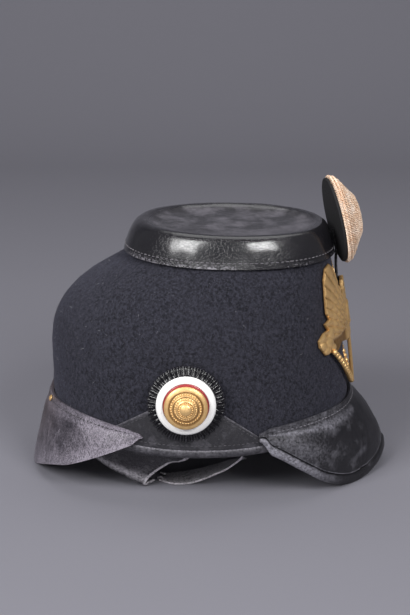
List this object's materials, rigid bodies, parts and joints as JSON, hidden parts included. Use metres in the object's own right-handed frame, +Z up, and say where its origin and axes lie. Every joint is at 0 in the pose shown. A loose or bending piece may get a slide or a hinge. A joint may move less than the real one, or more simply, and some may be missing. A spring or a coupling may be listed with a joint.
{
  "type": "shako hat",
  "caption": "Stiff felt shako with a leather top, peak and neck guard, side cockades, a gilt front plate and an oval field badge; it rests on its peak and guard.",
  "frame": {"origin": "on the surface that the hat stands on, below the middle of its box", "axes": "+X to the front, where the peak is; +Y to the wearer's left; +Z up"},
  "size_m": [0.2536, 0.211, 0.2048],
  "materials": {
    "felt": "matt blue-black wool felt",
    "lacquered_top": "glossy black lacquered leather, worn at its hem",
    "black_leather": "semi-gloss black leather",
    "peak_leather": "semi-gloss black leather with creases",
    "guard_leather": "scuffed grey-black leather",
    "sweatband_leather": "cracked glossy black leather with pale cut edges",
    "black_enamel": "glossy black paint",
    "white_enamel": "satin white paint",
    "red_enamel": "satin red paint",
    "gilt": "satin gilding, darker in its hollows",
    "badge_backing": "matt black backing",
    "bullion": "twisted metal thread embroidery",
    "wire": "dull steel wire"
  },
  "bodies": {
    "root": {"felt_body": "felt", "leather_top": "lacquered_top", "rim_binding": "black_leather", "front_peak": "peak_leather", "peak_border": "peak_leather", "neck_guard": "guard_leather", "gusset_left": "black_leather", "gusset_right": "black_leather", "cockade_black_left": "black_enamel", "cockade_white_left": "white_enamel", "cockade_red_left": "red_enamel", "cockade_boss_left": "gilt", "cockade_black_right": "black_enamel", "cockade_white_right": "white_enamel", "cockade_red_right": "red_enamel", "cockade_boss_right": "gilt", "front_plate": "gilt", "badge_back": "badge_backing", "badge_bullion": "bullion", "badge_prong": "wire", "guard_stud": "gilt", "sweatband_flap": "sweatband_leather", "sweatband_strip": "sweatband_leather"}
  },
  "joints": []
}
